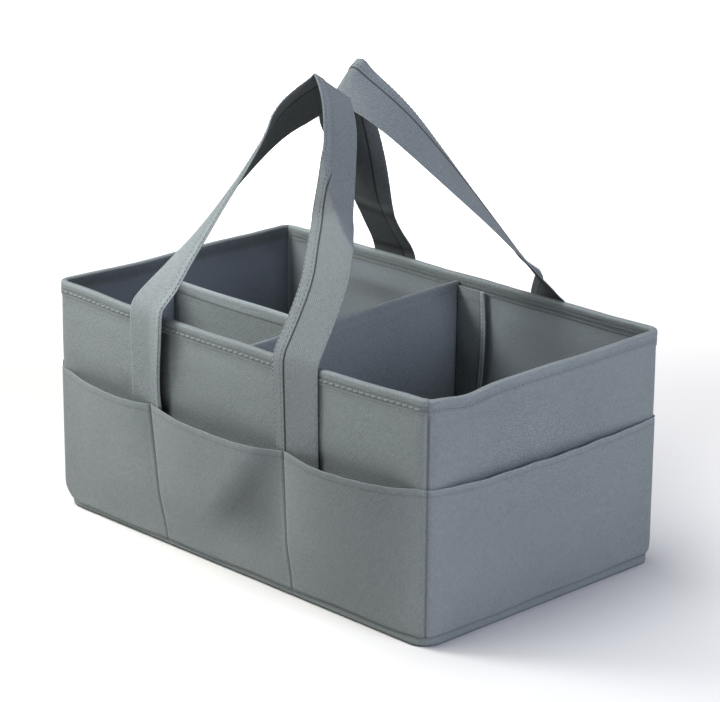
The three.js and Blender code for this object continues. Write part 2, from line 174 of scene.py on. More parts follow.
class Wall:
    """One side of the box, modelled facing the front and turned about the middle."""

    def __init__(self, name, kind, turn, corners):
        self.name = name
        self.kind = kind
        self.half, self.reach, self.bow, self.sag = WALL_KINDS[kind]
        self.low_draw, self.high_draw = [FOOT_DRAWS[corner] for corner in corners]
        self.dip = RIM_DIPS.get(name, (0.0, 0.0, 1.0))
        self.turn = math.radians(turn)
        self.straight = self.half - CORNER_RADIUS
        self.seam = self.straight + CORNER_RADIUS * math.pi / 4

    def turned(self, x, y, z):
        """A point of the front moved to this wall."""
        c = math.cos(self.turn)
        t = math.sin(self.turn)
        return np.stack(np.broadcast_arrays(c * x - t * y, t * x + c * y, z), -1)

    def share(self, s):
        """1 in the middle of the wall, falling to 0 where the corners start."""
        return (1 - np.minimum(1, np.abs(s) / self.straight) ** 4) ** 2

    def rim(self, s):
        """Height of the soft rim."""
        depth, middle, reach = self.dip
        return HEIGHT - self.sag * self.share(s) - depth * bump(s, middle, reach)

    def point(self, s, depth, z):
        """s along the outer face and round half of each corner, depth inwards, z up."""
        angle = np.maximum(0, np.abs(s) - self.straight) / CORNER_RADIUS
        radius = CORNER_RADIUS - depth
        along = np.sign(s) * (np.minimum(np.abs(s), self.straight) + radius * np.sin(angle))
        swell = self.bow * self.share(s) * z / HEIGHT
        out = self.reach - CORNER_RADIUS + radius * np.cos(angle) + swell
        return self.turned(along, -out, z)

    def outwards(self, s, z):
        """Unit directions straight off the outer face."""
        return self.point(s, -1.0, z) - self.point(s, 0.0, z)

    def stations(self, step):
        """Places from corner seam to corner seam, close together round the corners."""
        count = max(8, int(round(2 * self.straight / step)))
        corner = np.linspace(self.straight, self.seam, 9)[1:]
        middle = np.linspace(-self.straight, self.straight, count + 1)
        return np.concatenate([-corner[::-1], middle, corner])

    def drawn_in(self, s, z):
        """How far the cloth is drawn in round the foot of the corners."""
        low = 1 - smooth(0, FOOT_TAPER, z)
        draw = np.where(s < 0, self.low_draw, self.high_draw)
        return draw * low**2 * smooth(self.straight - FOOT_REACH, self.seam, np.abs(s))

    def curl(self, s, reach=1.3):
        """1 at the corner seams, falling away from them."""
        return bump(self.seam - np.abs(s), 0, reach)


WALLS = {
    "front": Wall("front", "long", 0, (2, 3)),
    "right": Wall("right", "end", 90, (3, 0)),
    "back": Wall("back", "long", 180, (0, 1)),
    "left": Wall("left", "end", -90, (1, 2)),
}


# Meshes


def lengths(points):
    """Distance along each row of points."""
    steps = np.linalg.norm(np.diff(points, axis=0), axis=-1)
    start = np.zeros((1,) + steps.shape[1:])
    return np.concatenate([start, np.cumsum(steps, axis=0)])


def add_object(name, data):
    """A new object in the scene."""
    made = bpy.data.objects.new(name, data)
    bpy.context.scene.collection.objects.link(made)
    return made


def make_object(name, points, faces, corner_uv, sharp=40, shade=None):
    """A smooth mesh from its faces' corners, with their places on the cloth and each point's painted light
    and shade.
    """
    corners = np.concatenate([f.reshape(-1) for f in faces]).astype(np.int32)
    sizes = np.concatenate([np.full(len(f), f.shape[1]) for f in faces]).astype(np.int32)
    uv = np.concatenate([u.reshape(-1, 2) for u in corner_uv])
    starts = np.concatenate([[0], np.cumsum(sizes)[:-1]]).astype(np.int32)
    a = points[corners[starts]]
    b = points[corners[starts + 1]]
    c = points[corners[starts + 2]]
    if np.einsum("ij,ij->i", a, np.cross(b, c)).sum() < 0:
        order = np.concatenate([np.arange(s + n - 1, s - 1, -1) for s, n in zip(starts, sizes)])
        corners = corners[order]
        uv = uv[order]
    mesh = bpy.data.meshes.new(name)
    mesh.vertices.add(len(points))
    mesh.vertices.foreach_set("co", (points * MM).ravel())
    mesh.loops.add(len(corners))
    mesh.loops.foreach_set("vertex_index", corners)
    mesh.polygons.add(len(sizes))
    mesh.polygons.foreach_set("loop_start", starts)
    mesh.update(calc_edges=True)
    layer = mesh.uv_layers.new(name="cloth")
    layer.data.foreach_set("uv", (uv * MM).astype(np.float32).ravel())
    if shade is not None:
        painted_shading = mesh.attributes.new("shade", "FLOAT", "POINT")
        painted_shading.data.foreach_set("value", np.asarray(shade, np.float32).ravel())
    mesh.validate()
    mesh.shade_smooth()
    mesh.set_sharp_from_angle(angle=math.radians(sharp))
    return add_object(name, mesh)


def shell(name, outer, inner, wrap=False, sharp=40, shade=0.0, inner_shade=None):
    """A closed sheet between two grids of points; wrap joins its last row to its first."""
    n, m = outer.shape[:2]
    rows = n if wrap else n - 1
    i = np.arange(rows)[:, None]
    j = np.arange(m - 1)[None, :]
    k = (i + 1) % n
    ring = np.concatenate([outer, outer[:1]]) if wrap else outer
    uv = np.stack(np.meshgrid(lengths(ring[:, m // 2]), lengths(outer[n // 2]), indexing="ij"), -1)
    grid = np.stack(np.broadcast_arrays(i * m + j, k * m + j, k * m + j + 1, i * m + j + 1), -1)
    grid_uv = np.stack([uv[i, j], uv[i + 1, j], uv[i + 1, j + 1], uv[i, j + 1]], -2)
    other = n * m
    faces = [grid.reshape(-1, 4), grid.reshape(-1, 4)[:, ::-1] + other]
    places = [grid_uv.reshape(-1, 4, 2), grid_uv.reshape(-1, 4, 2)[:, ::-1]]

    def edge(a, b, uv_a, uv_b):
        faces.append(np.stack([b, a, a + other, b + other], -1))
        places.append(np.stack([uv_b, uv_a, uv_a, uv_b], -2))

    row = np.arange(rows)
    after = (row + 1) % n
    edge(row * m, after * m, uv[row, 0], uv[row + 1, 0])
    edge(after * m + m - 1, row * m + m - 1, uv[row + 1, -1], uv[row, -1])
    if not wrap:
        col = np.arange(m - 1)
        edge(col + 1, col, uv[0, col + 1], uv[0, col])
        last = (n - 1) * m
        edge(last + col, last + col + 1, uv[-1, col], uv[-1, col + 1])
    points = np.concatenate([outer.reshape(-1, 3), inner.reshape(-1, 3)])
    painted_shading = np.broadcast_to(shade, (n, m)).ravel()
    painted_shading_inside = np.broadcast_to(shade if inner_shade is None else inner_shade, (n, m)).ravel()
    return make_object(name, points, faces, places, sharp, np.concatenate([painted_shading, painted_shading_inside]))


def raised(outline, z):
    """A flat outline at a height."""
    return np.column_stack([outline, np.full(len(outline), z)])


def pad(name, outlines, heights):
    """A flat closed piece through rings, from the middle of one face round to the middle of the other."""
    rings = np.stack([raised(outline, z) for outline, z in zip(outlines, heights)])
    n, m = rings.shape[:2]
    i = np.arange(n - 1)[:, None]
    j = np.arange(m)[None, :]
    k = (j + 1) % m
    grid = np.stack(np.broadcast_arrays(i * m + j, i * m + k, (i + 1) * m + k, (i + 1) * m + j), -1)
    faces = [grid.reshape(-1, 4), np.arange(m)[None, ::-1], (n - 1) * m + np.arange(m)[None, :]]
    points = rings.reshape(-1, 3)
    return make_object(name, points, faces, [points[f][..., :2] for f in faces])


SIDE_STEPS = 40
CORNER_STEPS = 8


def floor_outline(inset):
    """Points round the foot of the box, inset from the walls' outer faces."""
    points = []
    for k, (sx, sy) in enumerate(((1, 1), (-1, 1), (-1, -1), (1, -1))):
        radius = FOOT_RADII[k]
        for a in np.linspace(k, k + 1, CORNER_STEPS + 1) * math.pi / 2:
            x = sx * (LENGTH / 2 - radius) + (radius - inset) * math.cos(a)
            y = sy * (WIDTH / 2 - radius) + (radius - inset) * math.sin(a)
            points.append((x, y))
    corners = np.array(points)
    spread = []
    for k, (a, b) in enumerate(zip(corners, np.roll(corners, -1, axis=0))):
        count = SIDE_STEPS if k % (CORNER_STEPS + 1) == CORNER_STEPS else 1
        spread.extend(a + (b - a) * t / count for t in range(count))
    return np.array(spread)


# Rings of a stitch: share of its length, share of its width, and lift in half widths
THREAD_RINGS = ((-0.5, 0.45, -0.55), (-0.28, 1.0, 0.2), (0.28, 1.0, 0.2), (0.5, 0.45, -0.55))
THREAD_SIDES = 6
THREAD_FLATNESS = 0.4
AIM_AHEAD = 0.6
PLACE_SCATTER = 0.08
TURN_SCATTER = 0.06
rng = np.random.default_rng(11)


def at_run(distance, run, values):
    """Values along a line at a distance along its run."""
    return np.array([np.interp(distance, run, values[:, c]) for c in range(3)])


def stitches(name, rows, pitch, length, width, slant=0.0):
    """Short threads laid along rows of (points, face normals), each turned by the slant."""
    half = width / 2
    template = []
    for along, girth, lift in THREAD_RINGS:
        for a in np.arange(THREAD_SIDES) * 2 * math.pi / THREAD_SIDES:
            high = math.sin(a) * girth * THREAD_FLATNESS + lift
            template.append((along * length, math.cos(a) * girth * half, high * half))
    template = np.array(template)
    ring = np.arange(THREAD_SIDES)
    sides = []
    for r in range(len(THREAD_RINGS) - 1):
        a = r * THREAD_SIDES + ring
        b = r * THREAD_SIDES + (ring + 1) % THREAD_SIDES
        sides.append(np.stack([a, b, b + THREAD_SIDES, a + THREAD_SIDES], -1))
    sides = np.concatenate(sides)
    ends = np.stack([ring[::-1], ring + THREAD_SIDES * (len(THREAD_RINGS) - 1)])
    points = []
    quads = []
    caps = []
    count = 0
    for line, normals in rows:
        run = lengths(line)
        for index in range(int(run[-1] // pitch)):
            at = (index + 0.5) * pitch + rng.normal(0, PLACE_SCATTER)
            up = at_run(at, run, normals)
            up /= np.linalg.norm(up)
            tangent = at_run(at + AIM_AHEAD, run, line) - at_run(at - AIM_AHEAD, run, line)
            tangent -= up * (tangent @ up)
            tangent /= np.linalg.norm(tangent)
            side = np.cross(up, tangent)
            turn = slant + rng.normal(0, TURN_SCATTER)
            first = tangent * math.cos(turn) + side * math.sin(turn)
            second = np.cross(up, first)
            points.append(at_run(at, run, line) + template @ np.stack([first, second, up]))
            quads.append(sides + count)
            caps.append(ends + count)
            count += len(template)
    points = np.concatenate(points)
    faces = [np.concatenate(quads), np.concatenate(caps)]
    return make_object(name, points, faces, [points[f][..., :2] for f in faces], sharp=60)


# Materials

SPECULAR = 0.25
SHEEN_ROUGHNESS = 0.55
BUMP_DISTANCE = 0.0006


def nodes_of(name, roughness, sheen):
    """A new material with its tree and shader."""
    material = bpy.data.materials.new(name)
    material.use_nodes = True
    tree = material.node_tree
    shader = tree.nodes["Principled BSDF"]
    shader.inputs["Roughness"].default_value = roughness
    shader.inputs["Specular IOR Level"].default_value = SPECULAR
    shader.inputs["Sheen Weight"].default_value = sheen
    shader.inputs["Sheen Roughness"].default_value = SHEEN_ROUGHNESS
    return material, tree, shader


def add_node(tree, kind, inputs, operation=None):
    """A new node, its inputs set to numbers or linked to other nodes' outputs."""
    node = tree.nodes.new(kind)
    if operation:
        node.operation = operation
    for place, value in inputs.items():
        if isinstance(value, (int, float)):
            node.inputs[place].default_value = value
        else:
            tree.links.new(value, node.inputs[place])
    return node


def maths(tree, operation, *values):
    """A sum or function of numbers and other nodes' values."""
    return add_node(tree, "ShaderNodeMath", dict(enumerate(values)), operation).outputs[0]


def noise(tree, vector, scale, detail):
    """Noise from 0 to 1 at a place, with a scale in turns to the metre."""
    inputs = {"Vector": vector, "Scale": scale, "Detail": detail}
    return add_node(tree, "ShaderNodeTexNoise", inputs).outputs["Fac"]


def tint(tree, factor, colour, contrast):
    """A colour that goes from darker to lighter by the contrast as the factor goes from 0 to 1."""
    ramp = add_node(tree, "ShaderNodeValToRGB", {"Fac": factor})
    for element, scale in zip(ramp.color_ramp.elements, (1 - contrast, 1 + contrast)):
        element.color = (*[c * scale for c in colour], 1)
    return ramp.outputs["Color"]


def emboss(tree, shader, height, depth):
    """Fine relief of the surface."""
    inputs = {"Strength": depth, "Distance": BUMP_DISTANCE, "Height": height}
    relief = add_node(tree, "ShaderNodeBump", inputs)
    tree.links.new(relief.outputs["Normal"], shader.inputs["Normal"])


# Weave: the scales on which warp and weft stray, how far they do, slubs, slow fading, and their weights
STRAY_SCALES = {"X": 60, "Y": 75}
STRAY = 5.0
SLUB_SCALE = 620
FADE_SCALE = 14
CROSSING_WEIGHT = 0.3
FADE_WEIGHT = 0.28
CLOTH_ROUGHNESS = 0.95
CLOTH_SHEEN = 0.05
GRAIN_SHEEN = 0.1


def woven(name, colour, pitch, contrast, depth):
    """Plain weave on the cloth's own places: crossing threads, slubs, fading, and each point's painted
    light and shade.
    """
    material, tree, shader = nodes_of(name, CLOTH_ROUGHNESS, CLOTH_SHEEN)
    places = tree.nodes.new("ShaderNodeUVMap")
    places.uv_map = "cloth"
    object_places = tree.nodes.new("ShaderNodeTexCoord").outputs["Object"]
    split = add_node(tree, "ShaderNodeSeparateXYZ", {"Vector": places.outputs["UV"]})
    turns = 2 * math.pi / (pitch * MM)
    threads = []
    for axis, scale in STRAY_SCALES.items():
        stray = maths(tree, "MULTIPLY", noise(tree, object_places, scale, 2), STRAY)
        place = maths(tree, "ADD", maths(tree, "MULTIPLY", split.outputs[axis], turns), stray)
        threads.append(maths(tree, "SINE", place))
    crossing = maths(tree, "MULTIPLY", *threads)
    slub = noise(tree, object_places, SLUB_SCALE, 3)
    patch = noise(tree, object_places, FADE_SCALE, 3)
    height = maths(tree, "ADD", maths(tree, "MULTIPLY", crossing, CROSSING_WEIGHT), slub)
    fine = maths(tree, "MULTIPLY", height, 1 - FADE_WEIGHT)
    fade = maths(tree, "ADD", fine, maths(tree, "MULTIPLY", patch, FADE_WEIGHT))
    # Each point's painted light and shade makes the weave's colour lighter or darker
    painted_shading = tree.nodes.new("ShaderNodeAttribute")
    painted_shading.attribute_name = "shade"
    brightness = maths(tree, "ADD", painted_shading.outputs["Fac"], 1.0)
    inputs = {"Vector": tint(tree, fade, colour, contrast), "Scale": brightness}
    shaded = add_node(tree, "ShaderNodeVectorMath", inputs, "SCALE")
    tree.links.new(shaded.outputs["Vector"], shader.inputs["Base Color"])
    emboss(tree, shader, height, depth)
    return material


def grained(name, colour, scale, depth, roughness=0.85, contrast=0.25):
    """Unwoven stuff: fibres, fuzz or pressed board, from noise alone."""
    material, tree, shader = nodes_of(name, roughness, GRAIN_SHEEN)
    places = tree.nodes.new("ShaderNodeTexCoord").outputs["Object"]
    grain = noise(tree, places, scale, 4)
    tree.links.new(tint(tree, grain, colour, contrast), shader.inputs["Base Color"])
    emboss(tree, shader, grain, depth)
    return material


CANVAS = woven("canvas_weave", (0.2, 0.228, 0.228), pitch=1.9, contrast=0.42, depth=0.8)
STRAP = woven("strap_weave", (0.192, 0.218, 0.222), pitch=2.0, contrast=0.5, depth=0.8)
LINING = woven("lining_weave", (0.192, 0.218, 0.23), pitch=1.3, contrast=0.2, depth=0.6)
THREAD = grained("sewing_thread", (0.24, 0.267, 0.265), scale=1500, depth=0.4)
# The dark thread is partly the thread's colour and partly painted shade of the grooves that the stitches
# lie in
DARK_THREAD = grained("shaded_thread", (0.085, 0.096, 0.1), scale=1500, depth=0.4)
TAPE = grained("hook_tape_fuzz", (0.05, 0.056, 0.062), scale=700, depth=1.0)
BOARD = grained("pressed_board", (0.36, 0.32, 0.26), scale=220, depth=0.3)
FELT_BOARD = grained("felt_board", (0.15, 0.168, 0.172), scale=420, depth=0.6)


def dress(piece, material, body, slot, *nodes):
    """Gives a piece its material, one body or none, and the nodes that it stands for; slot is not used."""
    piece.data.materials.append(material)
    if body:
        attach(piece, body)
    if nodes:
        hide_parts(*nodes)
    return piece


def sew(name, rows, material, body, pitch, length, width, slant=0.0):
    """Stitches along rows, riding on a body."""
    dress(stitches(name, rows, pitch, length, width, slant), material, body, "canvas")


# Camera at the photograph's angle, solved on the corners of the box

CAMERA_AZIMUTH = math.radians(45.69)
CAMERA_ELEVATION = math.radians(17.79)
CAMERA_ROLL = math.radians(0.42)
CAMERA_DISTANCE = 2027.0
CAMERA_LENS = 140
CAMERA_SENSOR = 36
AIM_RIGHT = 6.5
AIM_HEIGHT = 139.0
camera_data = bpy.data.cameras.new("camera")
camera_data.lens = CAMERA_LENS
camera_data.sensor_width = CAMERA_SENSOR
camera = add_object("camera", camera_data)
heading = Matrix.Rotation(CAMERA_AZIMUTH, 4, "Z")
tilt = Matrix.Rotation(math.pi / 2 - CAMERA_ELEVATION, 4, "X")
roll = Matrix.Rotation(CAMERA_ROLL, 4, "Z")
aim = Matrix.Translation(Vector((AIM_RIGHT, 0, AIM_HEIGHT)) * MM)
backwards = Matrix.Translation((0, 0, CAMERA_DISTANCE * MM))
camera.matrix_world = heading @ aim @ tilt @ roll @ backwards
bpy.context.scene.camera = camera


# Walls: outer panels, linings, rim and pockets

seam_rows = []
dark_rows = []
rope_rows = []
# The wall cloths end this far under the rim
RIM_ROOM = 1.2
# The outer cloth is slack between these heights, and has a painted shadow behind the strap legs
SLACK_HEIGHTS = (110, 126, 148, 160)
OUTER_SLACK = 2.0
LEG_SHADE = 0.6
LEG_SHADOW = (-20, -16, 15.5, 18.5)


def outer_panel(wall):
    """Outer cloth of a wall, sunken along its corner seams, with painted shade in them and a painted
    highlight beside them.
    """
    s = wall.stations(4)[:, None]
    t = np.concatenate([np.linspace(0, 0.9, 26), np.linspace(0.9, 1, 20)[1:]])[None, :]
    top = wall.rim(s) - CLOTH - RIM_ROOM
    z = OUTER_FOOT + t * (top - OUTER_FOOT)
    free = between(z, *SLACK_HEIGHTS)
    slack = OUTER_SLACK * free * ripple(s, z, SEEDS[wall.name]) * (1 - wall.curl(s, 8))
    depth = 0.9 * wall.curl(s) - slack + wall.drawn_in(s, z)
    # Painted shade in the corner seams with a painted highlight just beside them, and a painted shadow
    # behind each strap leg
    shade = -0.5 * wall.curl(s, 0.8) + 0.12 * bump(wall.seam - np.abs(s), 2.0, 0.8)
    for place in LEG_PLACES.get(wall.name, ()):
        shade = shade - LEG_SHADE * between(s - place, *LEG_SHADOW)
    outer = wall.point(s, depth, z)
    piece = shell(f"{wall.name}_outer_cloth", outer, wall.point(s, depth + CLOTH, z), shade=shade)
    dress(piece, CANVAS, "caddy", "canvas", f"{wall.name}_outer_panel")


LINING_SLACK = {"front": 1.5, "right": 1.5, "back": 2.8, "left": 1.5}
# Painted light over the back lining and painted shade over the left one
LINING_PAINTED_LIGHT = {"back": 0.32, "left": -0.2}
# A slack place in the back lining, how far it stands out, and the fold under it with its painted shade
SLACK_S = 85.0
SLACK_Z = 151.0
SLACK_DEPTH = 2.4
SLACK_FOLD = 8.0
SLACK_SHADE = 0.24
# Where tapes hold the linings flat, from and to
STRIPS = {
    "front": [(CROSS_FRONT_X, CROSS_FRONT_X + 34)],
    "back": [(-34.0, 4.0)],
    "left": [(6.0, 42.0)],
    "right": [],
}


def lining(wall):
    """Lining of a wall, slack away from its edges and its tapes."""
    s = wall.stations(6)[:, None]
    t = np.linspace(0, 1, 26)[None, :]
    top = wall.rim(s) - CLOTH - RIM_ROOM
    z = INNER_FOOT + t * (top - INNER_FOOT)
    free = between(z, 8, 30, 148, 160) * (1 - wall.curl(s, 10))
    for low, high in STRIPS[wall.name]:
        free = free * (1 - between(s, low - 12, low - 2, high + 2, high + 12))
    slack = LINING_SLACK[wall.name] * free * ripple(s, z, SEEDS[wall.name] + 0.9)
    depth = WALL_DEPTH + slack + wall.drawn_in(s, z)
    # Painted light and shade: the back lining lighter, more so where s is below 0 and less towards the
    # bottom, with painted shade under its slack place; the left lining darker
    shade = LINING_PAINTED_LIGHT.get(wall.name, 0.0)
    if wall.name == "back":
        depth = depth + SLACK_DEPTH * free * bump(s, SLACK_S, 36) * bump(z, SLACK_Z, 8)
        shade = (shade + 0.3 * smooth(10, -10, s)) * smooth(40, 120, z)
        shade = shade - SLACK_SHADE * bump(s, SLACK_S, 34) * bump(z, SLACK_Z - SLACK_FOLD, 6)
    inner = wall.point(s, depth, z)
    behind = wall.point(s, depth - (WALL_DEPTH - LINING_DEPTH), z)
    piece = shell(f"{wall.name}_lining_cloth", inner, behind, shade=shade)
    dress(piece, LINING, "caddy", "lining", f"{wall.name}_lining")


def end_board(wall):
    """Stiffener of an end wall, its top following the soft rim."""
    half = wall.straight - BOARD_SHORT
    s = np.linspace(-half, half, 60)[:, None]
    z = INNER_FOOT + np.linspace(0, 1, 12)[None, :] * (wall.rim(s) - BOARD_DROP - INNER_FOOT)
    outer = wall.point(s, BOARD_DEPTH, z)
    piece = shell(f"{wall.name}_board_core", outer, wall.point(s, BOARD_DEPTH + WALL_BOARD, z))
    dress(piece, BOARD, "caddy", "board", f"{wall.name}_board")


# Hem section from its outer foot to the crown: how far it stands out from the wall's middle, height from
# the rim, and painted shade: darker in its grooves, lighter on its roll
HEM_SECTION = (
    (2.3, -10.9, 0.0),
    (2.5, -10.3, 0.0),
    (2.6, -9.2, 0.0),
    (2.55, -8.6, -0.25),
    (2.5, -8.2, -0.5),
    (2.6, -7.8, -0.1),
    (2.65, -7.0, -0.35),
    (2.65, -5.8, -0.1),
    (2.55, -5.1, -0.4),
    (2.65, -4.5, -0.05),
    (2.8, -3.4, 0.02),
    (2.8, -1.8, 0.04),
    (2.5, -0.8, 0.16),
    (1.6, -0.2, 0.2),
    (0.0, 0.0, 0.12),
)
HEM_CLOTH = 0.35
# At the box's ends the hem lies flatter, with fainter painted shade lines
HEM_RELIEF = {"front": 1.0, "right": 0.3, "back": 1.0, "left": 0.3}
HEM_FLAT = 2.55
# Painted light on the inside of the hem at the back, painted shade at the left
HEM_PAINTED_LIGHT = {"back": 0.3, "left": -0.34}
# Heights from the rim: foot of the roll, and of the part that is plump here and thin there
HEM_ROLL_FOOT = -2.5
HEM_PLUMP_FOOT = -5
HEM_SEAM_DROP = 7.0
HEM_SEAM_OUT = 2.72


def offset_line(line, distance):
    """A line of points in a plane moved sideways."""
    run = np.gradient(line, axis=0)
    run /= np.linalg.norm(run, axis=1)[:, None]
    return line + distance * np.column_stack([run[:, 1], -run[:, 0]])


def rim_hem():
    """One hem folded over the rim all round, with its stitching outside and inside."""
    half = np.array(HEM_SECTION)
    section = np.concatenate([half[:, :2] * (-1, 1), half[-2::-1, :2]])
    painted_shading = np.concatenate([half[:, 2], half[-2::-1, 2]])
    inside = offset_line(section, HEM_CLOTH)
    below_roll = section[:, 1] < HEM_ROLL_FOOT
    within = smooth(0.5, 2.0, section[:, 0])
    outer = []
    inner = []
    shade = []
    for wall in WALLS.values():
        relief = HEM_RELIEF[wall.name]
        seed = SEEDS[wall.name]
        lined = np.where(painted_shading < 0, painted_shading * relief, painted_shading)
        inside_painted_light = HEM_PAINTED_LIGHT.get(wall.name, 0.0) * within
        for place in wall.stations(4)[:-1]:
            plump = 0.1 * math.sin(place / 9 + seed) + 0.08 * math.sin(place / 3.7)
            top = wall.rim(place) + 0.2 * math.sin(place / 13 + seed)
            pinch = 0.3 * wall.curl(place, 0.9)
            for line, grid in ((section, outer), (inside, inner)):
                way = np.sign(line[:, 0])
                flatter = np.where(below_roll, way * HEM_FLAT - line[:, 0], 0) * (1 - relief)
                across = line[:, 0] + flatter + way * (plump * (line[:, 1] > HEM_PLUMP_FOOT) - pinch)
                grid.append(wall.point(place, WALL_DEPTH / 2 + across, top + line[:, 1]))
            # Painted shade lines and painted highlight of the hem, painted shade at the corners, and
            # painted light and shade on its inside
            shade.append(lined - 0.3 * wall.curl(place, 0.6) + inside_painted_light)
    outer = np.array(outer)
    piece = shell("rim_hem_cloth", outer, np.array(inner), wrap=True, sharp=60, shade=np.array(shade))
    dress(piece, CANVAS, "caddy", "canvas", *[f"{name}_rim_hem" for name in WALLS])
    for wall in WALLS.values():
        s = np.linspace(-wall.seam + 2, wall.seam - 2, 160)
        height = wall.rim(s) - HEM_SEAM_DROP
        out = wall.outwards(s, height)
        row = (wall.point(s, WALL_DEPTH / 2 - HEM_SEAM_OUT, height), out)
        (rope_rows if HEM_RELIEF[wall.name] == 1 else dark_rows).append(row)
        dark_rows.append((wall.point(s, WALL_DEPTH / 2 + HEM_SEAM_OUT, height), -out))


# Pockets of the long walls and of the ends. Seams: way from the wall's middle at the foot and at the mouth.
POCKET_SEAMS = {"long": ((-69.0, -80.0), (64.0, 61.0)), "end": ()}
# Height of the mouth at the corners and seams, how far each bay's mouth swells out and sags, and its waver
POCKET_LEVELS = {"long": (108.0, 107.0, 108.5, 113.0), "end": (113.0, 111.5)}
POCKET_SWELL = {"long": (6.5, 10.0, 10.0), "end": (4.0,)}
POCKET_SAG = {"long": (0.6, 1.3, 1.3), "end": (1.3,)}
POCKET_WAVER = {"long": 0.12, "end": 0.3}
# How far towards its right each bay is fullest, above 1, or towards its left, below 1
POCKET_LEAN = {"long": (1.25, 1.3, 1.3), "end": (0.85,)}
POCKET_GROWTH = 1.3
POCKET_STEPS = {"long": 46, "end": 70}
POCKET_ROWS = np.concatenate(
    [np.linspace(0, 0.06, 7), np.linspace(0.06, 0.94, 26)[1:], np.linspace(0.94, 1, 12)[1:]]
)
# Room for the strap legs behind a panel, its fullness at each seam and the hem of its mouth, and the bay
# with painted shade all over
LEG_ROOM = 3.5
NO_SEAM = 900
SHADED_BAY = 2
# A slanting fold in the middle bay: a place on it, its direction, how far the cloth falls back, its reach
# and its painted shade
FOLD_BAY = 1
FOLD_S = 14.0
FOLD_Z = 68.0
FOLD_DIRECTION = math.radians(47)
FOLD_DEPTH = 5.0
FOLD_REACH = 11.0
FOLD_SHADE = 0.46


def slack_fold(s, z):
    """0 where the cloth stands out above the fold, 1 where it falls back below it, short of the foot."""
    below = (s - FOLD_S) * math.sin(FOLD_DIRECTION) - (z - FOLD_Z) * math.cos(FOLD_DIRECTION)
    return smooth(-FOLD_REACH, FOLD_REACH, below) * smooth(14, 60, z)


def bay_columns(wall, bay_count, steps):
    """Upright lines of points: number of the bay, share of its width, and way past the corner's start."""
    corner = np.linspace(wall.straight, wall.seam, 9)[1:]
    before = len(corner)
    after = len(corner) + 1
    t = 0.5 - 0.5 * np.cos(np.linspace(0, math.pi, steps + 1))
    number = np.concatenate([[0] * before, np.repeat(np.arange(bay_count), steps), [bay_count - 1] * after])
    share = np.concatenate([[0] * before, np.tile(t[:-1], bay_count), [1] * after])
    straight = [0] * (steps * bay_count + 1)
    past = np.concatenate([wall.straight - corner[::-1], straight, corner - wall.straight])
    return number[:, None], share[:, None], past[:, None]


